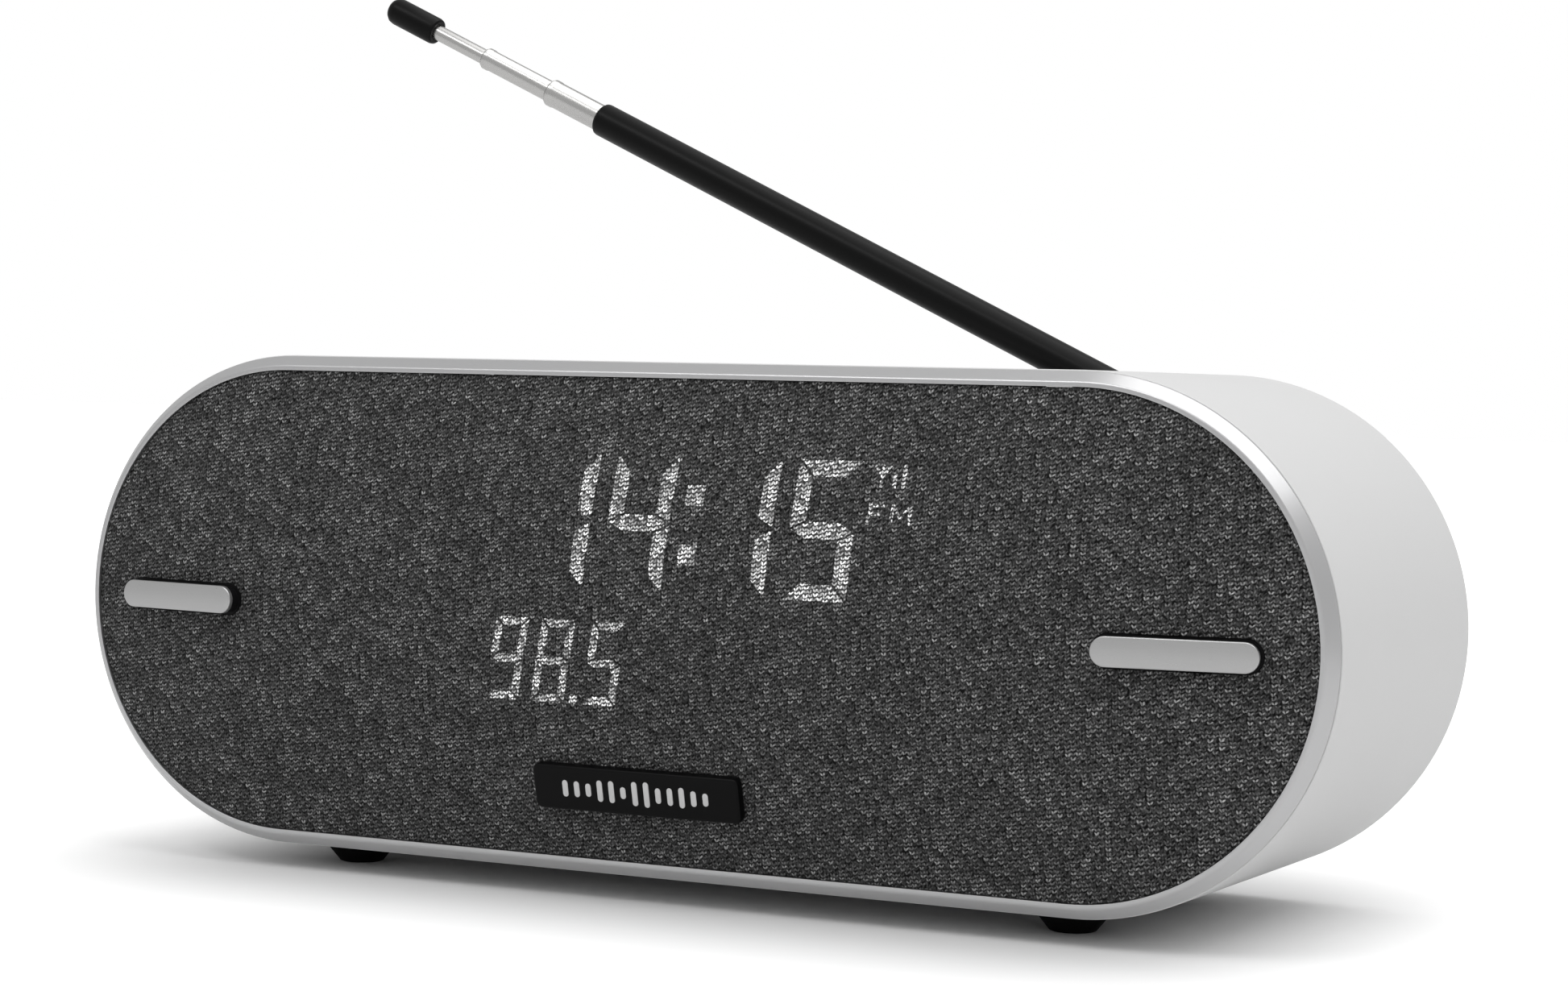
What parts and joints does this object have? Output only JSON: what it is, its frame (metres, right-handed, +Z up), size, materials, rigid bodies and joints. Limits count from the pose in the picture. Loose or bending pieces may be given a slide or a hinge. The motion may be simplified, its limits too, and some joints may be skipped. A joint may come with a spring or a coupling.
{
  "type": "tabletop radio",
  "caption": "Tabletop radio with a stadium-shaped case, domed knit front with a clock display behind it, bar keys and a telescopic aerial.",
  "frame": {"origin": "on the table, under the middle of the bounding box", "axes": "+X to the right seen from the front, +Y towards the back, +Z up"},
  "size_m": [0.2186, 0.0852, 0.1509],
  "materials": {
    "shell_white": "satin moulded plastic",
    "bezel_silver": "fine satin",
    "black_plastic": "fine texture",
    "speaker_cloth": "heathered knit",
    "badge_black": "gloss",
    "key_silver": "fine-blasted satin",
    "circuit_board": "solder mask",
    "display_lamp": "white light-emitting segments",
    "ribbon_white": "flexible strip",
    "rubber_black": "matt",
    "steel_plated": "zinc plated",
    "ferrite": "sintered",
    "cone_paper": "pressed pulp",
    "label_silver": "blank film label",
    "aerial_black": "satin black lacquer",
    "aerial_chrome": "bright nickel"
  },
  "bodies": {
    "root": {"housing_sleeve": "shell_white", "rear_cover": "shell_white", "front_bezel": "bezel_silver", "front_baffle": "black_plastic", "display_mask": "black_plastic", "top_key_panel": "black_plastic", "headphone_socket": "black_plastic", "power_inlet": "black_plastic", "reservoir_capacitor": "black_plastic", "heat_sink": "black_plastic", "speaker_cloth": "speaker_cloth", "badge_plate": "badge_black", "front_switch_board_left": "circuit_board", "front_switch_board_right": "circuit_board", "top_key_board": "circuit_board", "main_board": "circuit_board", "display_board": "display_lamp", "display_ribbon": "ribbon_white", "driver_gasket": "rubber_black", "driver_surround": "rubber_black", "speaker_lead": "rubber_black", "aerial_lead": "rubber_black", "foot_1": "rubber_black", "foot_2": "rubber_black", "foot_3": "rubber_black", "foot_4": "rubber_black", "driver_basket": "steel_plated", "tuner_can": "steel_plated", "board_screw_1": "steel_plated", "board_screw_2": "steel_plated", "board_screw_3": "steel_plated", "board_screw_4": "steel_plated", "rear_screw_1": "steel_plated", "rear_screw_2": "steel_plated", "rear_screw_3": "steel_plated", "rear_screw_4": "steel_plated", "driver_magnet": "ferrite", "rating_label": "label_silver"},
    "front_key_left": {"front_key_left": "key_silver", "front_key_carrier_left": "black_plastic"},
    "front_key_right": {"front_key_right": "key_silver", "front_key_carrier_right": "black_plastic"},
    "snooze_key": {"snooze_bar": "key_silver"},
    "top_key_1": {"top_key_1": "key_silver"},
    "top_key_2": {"top_key_2": "key_silver"},
    "top_key_3": {"top_key_3": "key_silver"},
    "top_key_4": {"top_key_4": "key_silver"},
    "top_key_5": {"top_key_5": "key_silver"},
    "top_key_6": {"top_key_6": "key_silver"},
    "speaker_cone": {"driver_cone": "cone_paper"},
    "aerial_swivel": {"aerial_turret": "aerial_black", "aerial_nut": "aerial_chrome", "aerial_pin": "aerial_chrome"},
    "aerial_rod": {"aerial_elbow": "aerial_chrome", "aerial_stage_1": "aerial_black"},
    "aerial_section_2": {"aerial_stage_2": "aerial_chrome"},
    "aerial_section_3": {"aerial_stage_3": "aerial_chrome"},
    "aerial_section_4": {"aerial_stage_4": "aerial_chrome", "aerial_tip": "aerial_black"}
  },
  "joints": [
    {"name": "front_key_left_press", "type": "slide", "parent": "root", "child": "front_key_left", "axis": [0.1479, 0.989, 0], "range_m": [0, 0.001], "stiffness_N_per_m": 600, "springref_m": -0.0005},
    {"name": "front_key_right_press", "type": "slide", "parent": "root", "child": "front_key_right", "axis": [-0.1479, 0.989, 0], "range_m": [0, 0.001], "stiffness_N_per_m": 600, "springref_m": -0.0005},
    {"name": "snooze_press", "type": "slide", "parent": "root", "child": "snooze_key", "axis": [0, 0, -1], "range_m": [0, 0.0008], "stiffness_N_per_m": 600, "springref_m": -0.0005},
    {"name": "top_key_1_press", "type": "slide", "parent": "root", "child": "top_key_1", "axis": [0, 0, -1], "range_m": [0, 0.0008], "stiffness_N_per_m": 600, "springref_m": -0.0005},
    {"name": "top_key_2_press", "type": "slide", "parent": "root", "child": "top_key_2", "axis": [0, 0, -1], "range_m": [0, 0.0008], "stiffness_N_per_m": 600, "springref_m": -0.0005},
    {"name": "top_key_3_press", "type": "slide", "parent": "root", "child": "top_key_3", "axis": [0, 0, -1], "range_m": [0, 0.0008], "stiffness_N_per_m": 600, "springref_m": -0.0005},
    {"name": "top_key_4_press", "type": "slide", "parent": "root", "child": "top_key_4", "axis": [0, 0, -1], "range_m": [0, 0.0008], "stiffness_N_per_m": 600, "springref_m": -0.0005},
    {"name": "top_key_5_press", "type": "slide", "parent": "root", "child": "top_key_5", "axis": [0, 0, -1], "range_m": [0, 0.0008], "stiffness_N_per_m": 600, "springref_m": -0.0005},
    {"name": "top_key_6_press", "type": "slide", "parent": "root", "child": "top_key_6", "axis": [0, 0, -1], "range_m": [0, 0.0008], "stiffness_N_per_m": 600, "springref_m": -0.0005},
    {"name": "cone_travel", "type": "slide", "parent": "root", "child": "speaker_cone", "axis": [0, 1, 0], "range_m": [-0.0015, 0.0015], "stiffness_N_per_m": 1500},
    {"name": "aerial_swivel_turn", "type": "hinge", "parent": "root", "child": "aerial_swivel", "pos_m": [0.068, 0.03836, 0.071], "axis": [0, 1, 0], "range_deg": [-25, 155]},
    {"name": "aerial_tilt", "type": "hinge", "parent": "aerial_swivel", "child": "aerial_rod", "pos_m": [0.068, 0.03836, 0.071], "axis": [-0.4226, 0, -0.9063], "range_deg": [0, 90]},
    {"name": "aerial_section_2_draw", "type": "slide", "parent": "aerial_rod", "child": "aerial_section_2", "axis": [-0.9063, 0, 0.4226], "range_m": [-0.0115, 0.095]},
    {"name": "aerial_section_3_draw", "type": "slide", "parent": "aerial_section_2", "child": "aerial_section_3", "axis": [-0.9063, 0, 0.4226], "range_m": [-0.0151, 0.09]},
    {"name": "aerial_section_4_draw", "type": "slide", "parent": "aerial_section_3", "child": "aerial_section_4", "axis": [-0.9063, 0, 0.4226], "range_m": [-0.0113, 0.088]}
  ]
}
